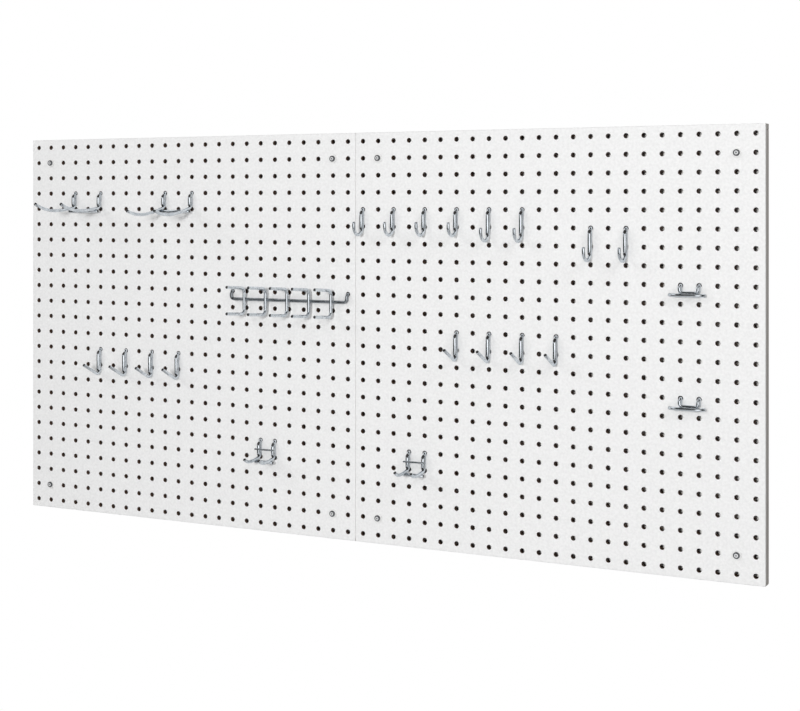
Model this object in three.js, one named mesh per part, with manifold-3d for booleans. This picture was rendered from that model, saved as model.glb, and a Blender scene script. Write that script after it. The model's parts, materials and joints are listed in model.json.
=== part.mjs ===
import * as THREE from "three";
import { mergeVertices } from "three/addons/utils/BufferGeometryUtils.js";
import Module from "manifold-3d";

// A pegboard tool wall: two square perforated panels on batten frames, with zinc wire hooks.
// Millimetres. +Z is up and the front faces -Y. The wall is the plane Y = 0, X = 0 is the seam
// between the two panels, and Z = 0 is half-way up.

const wasm = await Module();
wasm.setup();

// ---- driving dimensions ----
const INCH = 25.4;
const PITCH = INCH; // peg holes stand one inch apart
const PANEL_HOLES = 24; // holes along each side of a panel
const PANEL_SIZE = PANEL_HOLES * PITCH;
const SHEET_THICKNESS = INCH / 4;
const STANDOFF = INCH / 2; // depth of the space behind the sheet, where the pegs turn up
const SEAM_GAP = 0.3;
const GLUE_LINE = 0.2; // between the sheet and what is fixed to it
const HOLE_RADIUS = (INCH * 9) / 64;
const HOLE_SIDES = 8;

const BATTEN_WIDTH = 8;
const SEAM_BATTEN_WIDTH = 2 * BATTEN_WIDTH;

const SCREW_INSET = 2; // screws sit in the second hole from each edge
const SCREW_SHANK_RADIUS = 2.1;
const SCREW_HEAD_RADIUS = 4.5;
const SCREW_HEAD_HEIGHT = 2.8;
const SCREW_CROWN = [0.6, 0.85]; // shares of the head's radius and height where it rounds over
const SCREW_RIM = 0.35; // share of the head's height where its side ends
const SCREW_BITE = 12; // how far a screw runs into the wall
const BUSHING_FLANGE_RADIUS = 7;
const BUSHING_FLANGE_THICKNESS = 1.2;
const BUSHING_SLEEVE_RADIUS = 3.2;
const BUSHING_BORE_RADIUS = 2.5;
const BUSHING_SLEEVE_DEPTH = 5;
const SPACER_RADIUS = 6.35;
const ROUND_SIDES = 10; // sides of the small turned pieces

const WIRE_RADIUS = 2.4;
const THIN_WIRE_RADIUS = 1.25;
const BEND_STEP = 30; // degrees between the stations of a tight bend
const WIDE_BEND_STEP = 20;
const WIDE_BEND_RADIUS = 10; // bends wider than this use the finer step
const MOUNT_WIRE_SIDES = 6;
const FRONT_WIRE_SIDES = 8;
const WELD_DEPTH = 0.5; // how far two welded wires sink into each other
const WELD_PITCH = 2 * WIRE_RADIUS - WELD_DEPTH;
const TIGHT_BEND = 4; // centreline radius of the bends next to the sheet
const ARM_BEND = 6.4; // centreline radius where a leg turns into an arm
const PEG_SWEEP = 12; // the peg behind the sheet is an arc about the point the hook tips on
const PEG_TURN = 75; // degrees of that arc
const PEG_RISE = 0.3; // height of the peg's centreline over the hole's
const PEG_PLAY = 0.5; // pegs are thinner than the holes, and the hooks hang this far to the right
const LEG_REACH = 2.95; // centreline of a hook's main wire, in front of the sheet
const LEG_TOP = PEG_RISE - TIGHT_BEND; // where that wire's leg starts, under the bend from the peg
const FRONT_REACH = LEG_REACH + WELD_PITCH; // centreline of the short wire along its front
const FRONT_TOP = -1; // cut top end of the short wire, level with the upper hole
const CUT_SLANT = 6.5; // both its ends are sheared obliquely, and face out by this much

const J_HOOKS = {
  short: { depth: 27, bottom: -37.3, lip: 5.8 },
  long: { depth: 28.5, bottom: -44.2, lip: 4.5 },
};
const J_STEP = 5; // a J hook's short wire ends this far above the lowest point
const ARM_RISE = 27; // degrees over level of the angled hooks' arms
const ANGLED_REACH = 41;
const ANGLED_BOTTOM = -38.5;
const ANGLED_STEP = 1.5;
const LARGE_ARM = {
  span: 2 * PITCH,
  bendStart: -17.6,
  sag: [245, 9.4],
  tip: [111, 25.6],
  barHeight: -28.9,
};
const SMALL_ARM = {
  span: PITCH,
  bendStart: -19.9,
  sag: [101, 10],
  tip: [26.4, 38.7],
  barHeight: -31.1,
};
const ARM_RUN = 5.5; // straight part of a double hook's arms, before they sag
const ARM_STEP = 6; // a double hook's short wires end this far below the start of the bend
const LOWER_BAR_REACH = 12.5;
const LOWER_BAR_OVERHANG = 3.5;
const UPPER_BAR_HEIGHT = -12.7;
const UPPER_BAR_ENDS = [-5, 28];

const HOLDER_LEG = 5; // straight part of a pliers holder's rear wires
const HOLDER_BAR_DROP = 9.9;
const HOLDER_CORNER = 5;
const BOW_FORWARD = 3.2; // the bow is welded in front of and under the bracket's bar
const BOW_DROP = 2.9;
const BOW_OFFSET = -3;
const BOW_FLAT = 24;
const BOW_BEND = 12;
const BOW_ANGLE = 35;
const BOW_END = 7;

const RACK_SPAN = 8 * PITCH;
const RACK_REACH = 4.8;
const RACK_DROP = 11.9;
const RACK_CORNER = 5;
const PRONG_PITCH = 1.5 * PITCH;
const PRONG_COUNT = 5;
const PRONG_SHIFT = 1.2; // the row of prongs stands this far right of the rod's middle
const PRONG_GAP = 5.1; // rod centreline to prong centreline
const PRONG_TOP = 5.5;
const PRONG_BOTTOM = -34.7;
const PRONG_CORNER = 8;
const PRONG_TIP_REACH = 59.5;
const PRONG_RISE = 4.1;

// ---- where things hang: column and row of the upper peg hole, from the top left ----
const FIXINGS = [SCREW_INSET, PANEL_HOLES + 1 - SCREW_INSET];
const PANEL_COLUMNS = [0, PANEL_HOLES];
const LARGE_DOUBLES = [
  { column: 4, row: 4, droop: 0 },
  { column: 11, row: 4, droop: 6.6 },
];
const SMALL_DOUBLES = [
  { column: 18, row: 19 },
  { column: 28, row: 19 },
];
const J_PLACES = [
  ...[25, 27, 29, 31].map((column) => ({ column, row: 5, size: "short" })),
  ...[33, 35].map((column) => ({ column, row: 5, size: "long" })),
  ...[39, 41].map((column) => ({ column, row: 6, size: "long" })),
];
const ANGLED_PLACES = [
  ...[6, 8, 10, 12].map((column) => ({ column, row: 14 })),
  ...[31, 33, 35, 37].map((column) => ({ column, row: 12 })),
];
const HOLDERS = [
  { column: 44, row: 9 },
  { column: 44, row: 15 },
];
const RACK = { column: 16, row: 10 };
const FREE_HOLES = [
  { column: 3, row: 9 },
  { column: 14, row: 18 },
  { column: 22, row: 7 },
  { column: 28, row: 9 },
  { column: 38, row: 17 },
  { column: 46, row: 5 },
];

// ---- materials ----
const whiteFace = () => new THREE.MeshStandardMaterial({ color: 0xf0f0ee, roughness: 0.55 });
const whiteWood = () => new THREE.MeshStandardMaterial({ color: 0xd9d6d0, roughness: 0.6 });
const whitePlastic = () => new THREE.MeshStandardMaterial({ color: 0xf4f4f4, roughness: 0.4 });
const greyPlastic = () => new THREE.MeshStandardMaterial({ color: 0xb8babc, roughness: 0.5 });
const zinc = () =>
  new THREE.MeshStandardMaterial({ color: 0xc6ccd2, roughness: 0.25, metalness: 1 });
const screwSteel = () =>
  new THREE.MeshStandardMaterial({ color: 0xa9aaac, roughness: 0.35, metalness: 1 });

// ---- places and directions ----
const ORIGIN_COLUMN = PANEL_HOLES + 0.5;
const ORIGIN_ROW = (PANEL_HOLES + 1) / 2;
const holeX = (column) => (column - ORIGIN_COLUMN) * PITCH;
const holeZ = (row) => (ORIGIN_ROW - row) * PITCH;
const SHEET_BACK = -STANDOFF;
const SHEET_FRONT = -STANDOFF - SHEET_THICKNESS;
const radians = THREE.MathUtils.degToRad;
const LEFT = new THREE.Vector3(-1, 0, 0); // turning about it goes forward, up, back, down
const RIGHT = new THREE.Vector3(1, 0, 0);
const UP = new THREE.Vector3(0, 0, 1);
const FORWARD = new THREE.Vector3(0, -1, 0);
// A direction in a hook's side plane: 0 is straight out from the wall and 90 is up.
const heading = (degrees) =>
  new THREE.Vector3(0, -Math.cos(radians(degrees)), Math.sin(radians(degrees)));
// A point given by its distance in front of the sheet.
const point = (x, reach, z) => new THREE.Vector3(x, -reach, z);

// ---- wires ----
// The centreline of a bent wire, as stations joined by short straights.
class WirePath extends THREE.Curve {
  constructor(start, direction) {
    super();
    this.stations = [start.clone()];
    this.direction = direction.clone().normalize();
  }

  straight(length) {
    const end = this.stations.at(-1).clone();
    this.stations.push(end.addScaledVector(this.direction, length));
    return this;
  }

  bend(radius, degrees, axis) {
    const step = radius > WIDE_BEND_RADIUS ? WIDE_BEND_STEP : BEND_STEP;
    const steps = Math.ceil(Math.abs(degrees) / step - 1e-6);
    const turn = radians(degrees);
    const inward = axis.clone().cross(this.direction).multiplyScalar(Math.sign(degrees));
    const start = this.stations.at(-1);
    const centre = start.clone().addScaledVector(inward, radius);
    for (let i = 1; i <= steps; i++) {
      const arm = start.clone().sub(centre).applyAxisAngle(axis, (turn * i) / steps);
      this.stations.push(arm.add(centre));
    }
    this.direction.applyAxisAngle(axis, turn);
    return this;
  }

  getPointAt(u, target = new THREE.Vector3()) {
    return target.copy(this.stations[Math.round(u * (this.stations.length - 1))]);
  }

  getTangentAt(u, target = new THREE.Vector3()) {
    const last = this.stations.length - 1;
    const i = Math.round(u * last);
    const before = this.stations[Math.max(i - 1, 0)];
    const here = this.stations[i];
    const after = this.stations[Math.min(i + 1, last)];
    const arriving = here.clone().sub(before).normalize();
    const leaving = after.clone().sub(here).normalize();
    return target.copy(arriving).add(leaving).normalize();
  }
}

// A polygon with the same area as the round section of the wire.
function wireSection(radius, sides) {
  const corner = radius * Math.sqrt((2 * Math.PI) / (sides * Math.sin((2 * Math.PI) / sides)));
  const points = [];
  for (let i = 0; i < sides; i++) {
    const angle = ((i + 0.5) * 2 * Math.PI) / sides;
    points.push(new THREE.Vector2(corner * Math.cos(angle), corner * Math.sin(angle)));
  }
  return new THREE.Shape(points);
}

function wire(path, radius = WIRE_RADIUS, sides = FRONT_WIRE_SIDES) {
  return new THREE.ExtrudeGeometry(wireSection(radius, sides), {
    steps: path.stations.length - 1,
    extrudePath: path,
  });
}

function toSolid(geometry) {
  const bare = new THREE.BufferGeometry();
  bare.setAttribute("position", geometry.getAttribute("position"));
  const merged = mergeVertices(bare, 1e-4);
  const mesh = { numProp: 3, vertProperties: merged.attributes.position.array };
  return new wasm.Manifold(
    new wasm.Mesh({ ...mesh, triVerts: new Uint32Array(merged.index.array) }),
  );
}

function fromSolid(solid) {
  const { vertProperties, triVerts } = solid.getMesh();
  const geometry = new THREE.BufferGeometry();
  geometry.setAttribute("position", new THREE.BufferAttribute(vertProperties, 3));
  geometry.setIndex(new THREE.BufferAttribute(triVerts, 1));
  const faceted = geometry.toNonIndexed();
  faceted.computeVertexNormals();
  return faceted;
}

const weld = (geometries) => fromSolid(geometries.map(toSolid).reduce((a, b) => a.add(b)));

// ---- pegs and legs, which hold a hook on the sheet ----
// The peg starts behind the sheet, comes round its arc and out through the upper hole.
function pegPath(x) {
  const turn = radians(PEG_TURN);
  const midSheet = -SHEET_THICKNESS / 2;
  const start = point(
    x,
    midSheet - PEG_SWEEP * Math.sin(turn),
    PEG_RISE + PEG_SWEEP * (1 - Math.cos(turn)),
  );
  return new WirePath(start, heading(-PEG_TURN)).bend(PEG_SWEEP, PEG_TURN, LEFT);
}

function pegAndLegPath(x, reach, bend) {
  return pegPath(x)
    .straight(SHEET_THICKNESS / 2 + reach - bend)
    .bend(bend, -90, LEFT);
}

function shortMountWire(x) {
  const path = pegAndLegPath(x, LEG_REACH, TIGHT_BEND).straight(HOLDER_LEG);
  return wire(path, WIRE_RADIUS, MOUNT_WIRE_SIDES);
}

// ---- the hooks, each in a frame at its first upper hole, on the face of the sheet ----
const frontWirePath = (x) => new WirePath(point(x, FRONT_REACH, FRONT_TOP), heading(-90));

// A short straight wire along the front of a leg, with both ends sheared off obliquely.
function frontWire(x, bottom) {
  const lean = Math.atan2(CUT_SLANT, 2 * WIRE_RADIUS);
  const length = 2.5 * CUT_SLANT;
  const cutter = (end, side) => {
    const block = new THREE.BoxGeometry(4 * WIRE_RADIUS, length, CUT_SLANT)
      .translate(0, 0, (side * CUT_SLANT) / 2)
      .rotateX(side * lean)
      .translate(x, -FRONT_REACH, end - (side * CUT_SLANT) / 2);
    return toSolid(block.toNonIndexed());
  };
  const whole = toSolid(wire(frontWirePath(x).straight(FRONT_TOP - bottom)));
  return fromSolid(whole.subtract(cutter(FRONT_TOP, 1)).subtract(cutter(bottom, -1)));
}

// The main wire of a hook: out through the upper hole and down the sheet.
const legPath = (x) => pegAndLegPath(x, LEG_REACH, TIGHT_BEND);

function jHook({ depth, bottom, lip }) {
  const radius = depth / 2;
  const main = legPath(0)
    .straight(LEG_TOP - bottom - radius)
    .bend(radius, 180, LEFT)
    .straight(lip);
  return weld([wire(main), frontWire(0, bottom + J_STEP)]);
}

function angledHook() {
  const bendReach = ARM_BEND * (1 + Math.sin(radians(ARM_RISE)));
  const main = legPath(0)
    .straight(LEG_TOP - ANGLED_BOTTOM - ARM_BEND)
    .bend(ARM_BEND, 90 + ARM_RISE, LEFT)
    .straight((ANGLED_REACH - bendReach) / Math.cos(radians(ARM_RISE)));
  return weld([wire(main), frontWire(0, ANGLED_BOTTOM + ANGLED_STEP)]);
}

// A main wire whose arm leaves the leg, sags a little and lifts at its tip.
function saggingWire(x, { bendStart, sag, tip }, droop) {
  const [sagRadius, sagTurn] = sag;
  const [tipRadius, tipTurn] = tip;
  const path = legPath(x)
    .straight(LEG_TOP - bendStart)
    .bend(ARM_BEND, 90 - sagTurn - droop, LEFT)
    .straight(ARM_RUN)
    .bend(sagRadius, sagTurn, LEFT)
    .bend(tipRadius, tipTurn, LEFT);
  return wire(path);
}

function crossBar(from, to, reach, z, radius) {
  const path = new WirePath(point(from, reach, z), RIGHT).straight(to - from);
  return wire(path, radius);
}

function lowerBar({ span, barHeight }) {
  const ends = [-LOWER_BAR_OVERHANG, span + LOWER_BAR_OVERHANG];
  return crossBar(...ends, LOWER_BAR_REACH, barHeight, WIRE_RADIUS);
}

function doubleHook(arm, droop, extra = []) {
  const sides = [0, arm.span];
  return weld([
    ...sides.map((x) => saggingWire(x, arm, droop)),
    ...sides.map((x) => frontWire(x, arm.bendStart - ARM_STEP)),
    lowerBar(arm),
    ...extra,
  ]);
}

function upperBar() {
  const reach = FRONT_REACH + WIRE_RADIUS + THIN_WIRE_RADIUS - WELD_DEPTH;
  return crossBar(...UPPER_BAR_ENDS, reach, UPPER_BAR_HEIGHT, THIN_WIRE_RADIUS);
}

// Two short pegs, a U-shaped bracket across them and a bowed wire under the bracket.
function pliersHolder() {
  const bracket = frontWirePath(0)
    .straight(HOLDER_BAR_DROP - HOLDER_CORNER + FRONT_TOP)
    .bend(HOLDER_CORNER, 90, FORWARD)
    .straight(PITCH - 2 * HOLDER_CORNER)
    .bend(HOLDER_CORNER, 90, FORWARD)
    .straight(HOLDER_BAR_DROP - HOLDER_CORNER + FRONT_TOP);
  const angle = radians(BOW_ANGLE);
  const halfWidth = BOW_FLAT / 2 + BOW_BEND * Math.sin(angle) + BOW_END * Math.cos(angle);
  const setBack = BOW_BEND * (1 - Math.cos(angle)) + BOW_END * Math.sin(angle);
  const bowStart = point(
    PITCH / 2 + BOW_OFFSET - halfWidth,
    FRONT_REACH + BOW_FORWARD - setBack,
    -HOLDER_BAR_DROP - BOW_DROP,
  );
  const bow = new WirePath(bowStart, RIGHT.clone().applyAxisAngle(UP, -angle))
    .straight(BOW_END)
    .bend(BOW_BEND, BOW_ANGLE, UP)
    .straight(BOW_FLAT)
    .bend(BOW_BEND, BOW_ANGLE, UP)
    .straight(BOW_END);
  return weld([shortMountWire(0), shortMountWire(PITCH), wire(bracket), wire(bow)]);
}

// The rod of the tool rack comes out of one hole, runs level and goes back into another.
function rackRod() {
  const path = pegAndLegPath(0, RACK_REACH, RACK_CORNER)
    .straight(RACK_DROP + PEG_RISE - 2 * RACK_CORNER)
    .bend(RACK_CORNER, 90, FORWARD)
    .straight(RACK_SPAN - 2 * RACK_CORNER)
    .bend(RACK_CORNER, 90, FORWARD)
    .straight(RACK_DROP + PEG_RISE - 2 * RACK_CORNER)
    .bend(RACK_CORNER, 90, LEFT)
    .straight(SHEET_THICKNESS / 2 + RACK_REACH - RACK_CORNER)
    .bend(PEG_SWEEP, PEG_TURN, RIGHT);
  return wire(path);
}

// A C-shaped wire: one arm out above the rod and one below it.
function rackProng() {
  const spine = RACK_REACH + PRONG_GAP;
  const armRun = PRONG_TIP_REACH - spine;
  const rise = radians(PRONG_RISE);
  const upperTurn = 90 - PRONG_RISE;
  const lowerTurn = 90 + PRONG_RISE;
  const upperCut = PRONG_CORNER * Math.tan(radians(upperTurn / 2));
  const lowerCut = PRONG_CORNER * Math.tan(radians(lowerTurn / 2));
  const tip = point(0, PRONG_TIP_REACH, PRONG_TOP + armRun * Math.tan(rise));
  const path = new WirePath(tip, heading(180 + PRONG_RISE))
    .straight(armRun / Math.cos(rise) - upperCut)
    .bend(PRONG_CORNER, upperTurn, LEFT)
    .straight(PRONG_TOP - PRONG_BOTTOM - upperCut - lowerCut)
    .bend(PRONG_CORNER, lowerTurn, LEFT)
    .straight(armRun / Math.cos(rise) - lowerCut);
  return wire(path);
}

// ---- the board ----
const usesLowerHole = [...LARGE_DOUBLES, ...SMALL_DOUBLES, ...J_PLACES, ...ANGLED_PLACES];

function usedHoles() {
  const holes = [...FREE_HOLES];
  for (const start of PANEL_COLUMNS) {
    for (const column of FIXINGS) {
      for (const row of FIXINGS) holes.push({ column: start + column, row });
    }
  }
  for (const { column, row } of usesLowerHole) {
    holes.push({ column, row }, { column, row: row + 1 });
  }
  for (const { column, row } of LARGE_DOUBLES) {
    holes.push({ column: column + 2, row }, { column: column + 2, row: row + 1 });
  }
  for (const { column, row } of SMALL_DOUBLES) {
    holes.push({ column: column + 1, row }, { column: column + 1, row: row + 1 });
  }
  for (const { column, row } of HOLDERS) {
    holes.push({ column, row }, { column: column + 1, row });
  }
  holes.push(RACK, { column: RACK.column + RACK_SPAN / PITCH, row: RACK.row });
  return holes;
}

// A polygon whose flats touch the drilled circle.
function holeOutline(x, z) {
  const corner = HOLE_RADIUS / Math.cos(Math.PI / HOLE_SIDES);
  const points = [];
  for (let i = 0; i < HOLE_SIDES; i++) {
    const angle = ((i + 0.5) * 2 * Math.PI) / HOLE_SIDES;
    points.push(new THREE.Vector2(x + corner * Math.cos(angle), z + corner * Math.sin(angle)));
  }
  return new THREE.Path(points);
}

function panel(firstColumn) {
  const isLeft = firstColumn === 0;
  const left = isLeft ? -PANEL_SIZE : SEAM_GAP / 2;
  const right = isLeft ? -SEAM_GAP / 2 : PANEL_SIZE;
  const half = PANEL_SIZE / 2;
  const outline = new THREE.Shape([
    new THREE.Vector2(left, -half),
    new THREE.Vector2(right, -half),
    new THREE.Vector2(right, half),
    new THREE.Vector2(left, half),
  ]);
  for (const { column, row } of usedHoles()) {
    if (column <= firstColumn || column > firstColumn + PANEL_HOLES) continue;
    outline.holes.push(holeOutline(holeX(column), holeZ(row)));
  }
  const sheet = new THREE.ExtrudeGeometry(outline, {
    depth: SHEET_THICKNESS,
    bevelEnabled: false,
  });
  return sheet.rotateX(Math.PI / 2).translate(0, SHEET_BACK, 0);
}

function batten(x0, x1, z0, z1) {
  const depth = STANDOFF - GLUE_LINE;
  const box = new THREE.BoxGeometry(x1 - x0, depth, z1 - z0);
  return box.translate((x0 + x1) / 2, -depth / 2, (z0 + z1) / 2);
}

// A turned piece about the Y axis, from closed outline points of radius and distance in front.
function turned(points) {
  const outline = points.map(([radius, reach]) => new THREE.Vector2(radius, -reach));
  return new THREE.LatheGeometry(outline, ROUND_SIDES);
}

// The fixings are drawn in frames on the face of the sheet, in front of the screw hole.
function screw() {
  const seat = BUSHING_FLANGE_THICKNESS + 2 * GLUE_LINE;
  const dome = SCREW_HEAD_HEIGHT;
  const tip = SHEET_FRONT - SCREW_BITE;
  return turned([
    [0, seat + dome],
    [SCREW_HEAD_RADIUS * SCREW_CROWN[0], seat + dome * SCREW_CROWN[1]],
    [SCREW_HEAD_RADIUS, seat + dome * SCREW_RIM],
    [SCREW_HEAD_RADIUS, seat],
    [SCREW_SHANK_RADIUS, seat],
    [SCREW_SHANK_RADIUS, tip + 2 * SCREW_SHANK_RADIUS],
    [0, tip],
  ]);
}

function bushing() {
  return turned([
    [BUSHING_BORE_RADIUS, GLUE_LINE + BUSHING_FLANGE_THICKNESS],
    [BUSHING_FLANGE_RADIUS, GLUE_LINE + BUSHING_FLANGE_THICKNESS],
    [BUSHING_FLANGE_RADIUS, GLUE_LINE],
    [BUSHING_SLEEVE_RADIUS, GLUE_LINE],
    [BUSHING_SLEEVE_RADIUS, -BUSHING_SLEEVE_DEPTH],
    [BUSHING_BORE_RADIUS, -BUSHING_SLEEVE_DEPTH],
    [BUSHING_BORE_RADIUS, GLUE_LINE + BUSHING_FLANGE_THICKNESS],
  ]);
}

function spacer() {
  const front = -SHEET_THICKNESS - GLUE_LINE;
  return turned([
    [BUSHING_BORE_RADIUS, front],
    [SPACER_RADIUS, front],
    [SPACER_RADIUS, SHEET_FRONT],
    [BUSHING_BORE_RADIUS, SHEET_FRONT],
    [BUSHING_BORE_RADIUS, front],
  ]);
}

// ---- assembly ----
const board = new THREE.Group();

function addMesh(name, geometry, material, parent = board) {
  const mesh = new THREE.Mesh(geometry, material);
  mesh.name = name;
  parent.add(mesh);
}

function atHole(column, row) {
  const group = new THREE.Group();
  group.position.set(holeX(column), SHEET_FRONT, holeZ(row));
  board.add(group);
  return group;
}

function hang(column, row) {
  const group = atHole(column, row);
  group.position.x += PEG_PLAY;
  return group;
}

addMesh("left_panel", panel(0), whiteFace());
addMesh("right_panel", panel(PANEL_HOLES), whiteFace());

const edge = PANEL_SIZE / 2;
const inner = edge - BATTEN_WIDTH;
const seamHalf = SEAM_BATTEN_WIDTH / 2;
addMesh("top_batten", batten(-PANEL_SIZE, PANEL_SIZE, inner, edge), whiteWood());
addMesh("bottom_batten", batten(-PANEL_SIZE, PANEL_SIZE, -edge, -inner), whiteWood());
const sideEnds = [-inner + GLUE_LINE, inner - GLUE_LINE];
addMesh("left_batten", batten(-PANEL_SIZE, BATTEN_WIDTH - PANEL_SIZE, ...sideEnds), whiteWood());
addMesh("right_batten", batten(PANEL_SIZE - BATTEN_WIDTH, PANEL_SIZE, ...sideEnds), whiteWood());
addMesh("seam_batten", batten(-seamHalf, seamHalf, ...sideEnds), whiteWood());

let fixing = 0;
for (const start of PANEL_COLUMNS) {
  for (const row of FIXINGS) {
    for (const column of FIXINGS) {
      fixing += 1;
      const place = atHole(start + column, row);
      addMesh(`screw_${fixing}`, screw(), screwSteel(), place);
      addMesh(`flanged_bushing_${fixing}`, bushing(), whitePlastic(), place);
      addMesh(`spacer_${fixing}`, spacer(), greyPlastic(), place);
    }
  }
}

LARGE_DOUBLES.forEach(({ column, row, droop }, i) => {
  const hook = doubleHook(LARGE_ARM, droop);
  addMesh(`large_double_hook_${i + 1}`, hook, zinc(), hang(column, row));
});

SMALL_DOUBLES.forEach(({ column, row }, i) => {
  const hook = doubleHook(SMALL_ARM, 0, [upperBar()]);
  addMesh(`small_double_hook_${i + 1}`, hook, zinc(), hang(column, row));
});

J_PLACES.forEach(({ column, row, size }, i) => {
  addMesh(`j_hook_${i + 1}`, jHook(J_HOOKS[size]), zinc(), hang(column, row));
});

ANGLED_PLACES.forEach(({ column, row }, i) => {
  addMesh(`angled_hook_${i + 1}`, angledHook(), zinc(), hang(column, row));
});

HOLDERS.forEach(({ column, row }, i) => {
  addMesh(`pliers_holder_${i + 1}`, pliersHolder(), zinc(), hang(column, row));
});

const rack = hang(RACK.column, RACK.row);
addMesh("tool_rack_rod", rackRod(), zinc(), rack);
const firstProng = RACK_SPAN / 2 + PRONG_SHIFT - ((PRONG_COUNT - 1) / 2) * PRONG_PITCH;
for (let i = 0; i < PRONG_COUNT; i++) {
  const prongPlace = new THREE.Group();
  prongPlace.position.x = firstProng + i * PRONG_PITCH;
  rack.add(prongPlace);
  addMesh(`tool_rack_prong_${i + 1}`, rackProng(), zinc(), prongPlace);
}

export default board;
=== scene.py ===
"""Pegboard tool wall: the looks. Metres, +Z up, the face looks along -Y, the wall is Y = 0."""

import json
import math

import bmesh
import bpy
from mathutils import Matrix, Quaternion, Vector


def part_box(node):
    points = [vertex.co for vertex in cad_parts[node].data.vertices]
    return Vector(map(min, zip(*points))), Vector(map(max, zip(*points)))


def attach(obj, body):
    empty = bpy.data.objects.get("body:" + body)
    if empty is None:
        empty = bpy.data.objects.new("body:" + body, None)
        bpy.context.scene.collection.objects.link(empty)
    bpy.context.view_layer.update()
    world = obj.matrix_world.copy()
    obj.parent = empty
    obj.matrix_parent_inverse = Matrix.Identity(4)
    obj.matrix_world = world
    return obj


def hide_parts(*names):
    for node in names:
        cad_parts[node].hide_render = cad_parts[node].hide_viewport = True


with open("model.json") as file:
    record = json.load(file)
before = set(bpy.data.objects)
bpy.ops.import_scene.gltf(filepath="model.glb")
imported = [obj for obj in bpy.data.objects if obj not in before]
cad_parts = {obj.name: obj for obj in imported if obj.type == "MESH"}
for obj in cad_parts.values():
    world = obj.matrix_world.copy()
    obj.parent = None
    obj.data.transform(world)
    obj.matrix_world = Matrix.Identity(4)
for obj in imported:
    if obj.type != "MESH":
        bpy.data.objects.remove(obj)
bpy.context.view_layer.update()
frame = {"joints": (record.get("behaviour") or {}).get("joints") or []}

# ---- dimensions shared with the CAD model ----
MM = 0.001
PITCH = 25.4 * MM
HOLE_RADIUS = 3.572 * MM
WIRE_RADIUS = 2.4 * MM
THIN_WIRE_RADIUS = 1.25 * MM
WELD_DEPTH = 0.5 * MM
WELD_PITCH = 2 * WIRE_RADIUS - WELD_DEPTH
TIGHT_BEND = 4 * MM
ARM_BEND = 6.4 * MM
PEG_SWEEP = 12 * MM
PEG_TURN = 75
PEG_RISE = 0.3 * MM
LEG_REACH = 2.95 * MM
LEG_TOP = PEG_RISE - TIGHT_BEND
FRONT_REACH = LEG_REACH + WELD_PITCH
WELD_REACH = (LEG_REACH + FRONT_REACH) / 2
WELD_SHARES = (0.3, 0.68)
FRONT_TOP = -1 * MM
CUT_SLANT = 6.5 * MM

J_SHORT = {"depth": 27 * MM, "bottom": -37.3 * MM, "lip": 5.8 * MM}
J_LONG = {"depth": 28.5 * MM, "bottom": -44.2 * MM, "lip": 4.5 * MM}
J_SIZES = [J_SHORT] * 4 + [J_LONG] * 4
J_STEP = 5 * MM
ANGLED_COUNT = 8
ARM_RISE = 27
ANGLED_REACH = 41 * MM
ANGLED_BOTTOM = -38.5 * MM
ANGLED_STEP = 1.5 * MM
LARGE_ARM = {
    "span": 2 * PITCH,
    "bend_start": -17.6 * MM,
    "sag": (245 * MM, 9.4),
    "tip": (111 * MM, 25.6),
    "bar_height": -28.9 * MM,
}
SMALL_ARM = {
    "span": PITCH,
    "bend_start": -19.9 * MM,
    "sag": (101 * MM, 10),
    "tip": (26.4 * MM, 38.7),
    "bar_height": -31.1 * MM,
}
LARGE_DROOPS = [0, 6.6]
ARM_RUN = 5.5 * MM
ARM_STEP = 6 * MM
LOWER_BAR_REACH = 12.5 * MM
LOWER_BAR_OVERHANG = 3.5 * MM
UPPER_BAR_HEIGHT = -12.7 * MM
UPPER_BAR_ENDS = (-5 * MM, 28 * MM)

HOLDER_LEG = 5 * MM
HOLDER_BAR_DROP = 9.9 * MM
HOLDER_CORNER = 5 * MM
HOLDER_WELD_HEIGHT = -7 * MM
BOW_FORWARD = 3.2 * MM
BOW_DROP = 2.9 * MM
BOW_OFFSET = -3 * MM
BOW_FLAT = 24 * MM
BOW_BEND = 12 * MM
BOW_ANGLE = 35
BOW_END = 7 * MM
BOW_WELD_SPACING = 10 * MM

RACK_SPAN = 8 * PITCH
RACK_REACH = 4.8 * MM
RACK_DROP = 11.9 * MM
RACK_CORNER = 5 * MM
PRONG_PITCH = 1.5 * PITCH
PRONG_COUNT = 5
PRONG_SHIFT = 1.2 * MM
PRONG_GAP = 5.1 * MM
PRONG_TOP = 5.5 * MM
PRONG_BOTTOM = -34.7 * MM
PRONG_CORNER = 8 * MM
PRONG_TIP_REACH = 59.5 * MM
PRONG_RISE = 4.1

# ---- the camera, and sizes that only the drawn surface has ----
CAMERA_PLACE = (1.0478, -1.9992, 0.1981)
CAMERA_YAW = 26.15
CAMERA_LENS = 67.5
CAMERA_SHIFT_X = -0.0010
CAMERA_SHIFT_Y = -0.18895
WIRE_SIDES = 20
BEND_STEP = 7.5
CHAMFER = 0.35 * MM
HOLE_SIDES = 16
HOLE_EASE = 0.4 * MM
HOLE_RIM = 0.9 * MM
PANEL_CORNER = 1.5 * MM
PANEL_RIM = 1.1 * MM
BATTEN_EASE = 0.6 * MM
SAME_PLACE = 0.01 * MM

BOARD_LOW = Vector(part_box("left_panel")[0])
BOARD_HIGH = Vector(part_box("right_panel")[1])
FACE_Y = BOARD_LOW.y
SHEET_BACK_Y = BOARD_HIGH.y
SHEET_THICKNESS = SHEET_BACK_Y - FACE_Y


# ---- materials ----
def new_material(name, color, roughness, metallic=0.0):
    material = bpy.data.materials.new(name)
    material.use_nodes = True
    shader = material.node_tree.nodes["Principled BSDF"]
    shader.inputs["Base Color"].default_value = (*color, 1)
    shader.inputs["Roughness"].default_value = roughness
    shader.inputs["Metallic"].default_value = metallic
    return material, material.node_tree, shader


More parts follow.
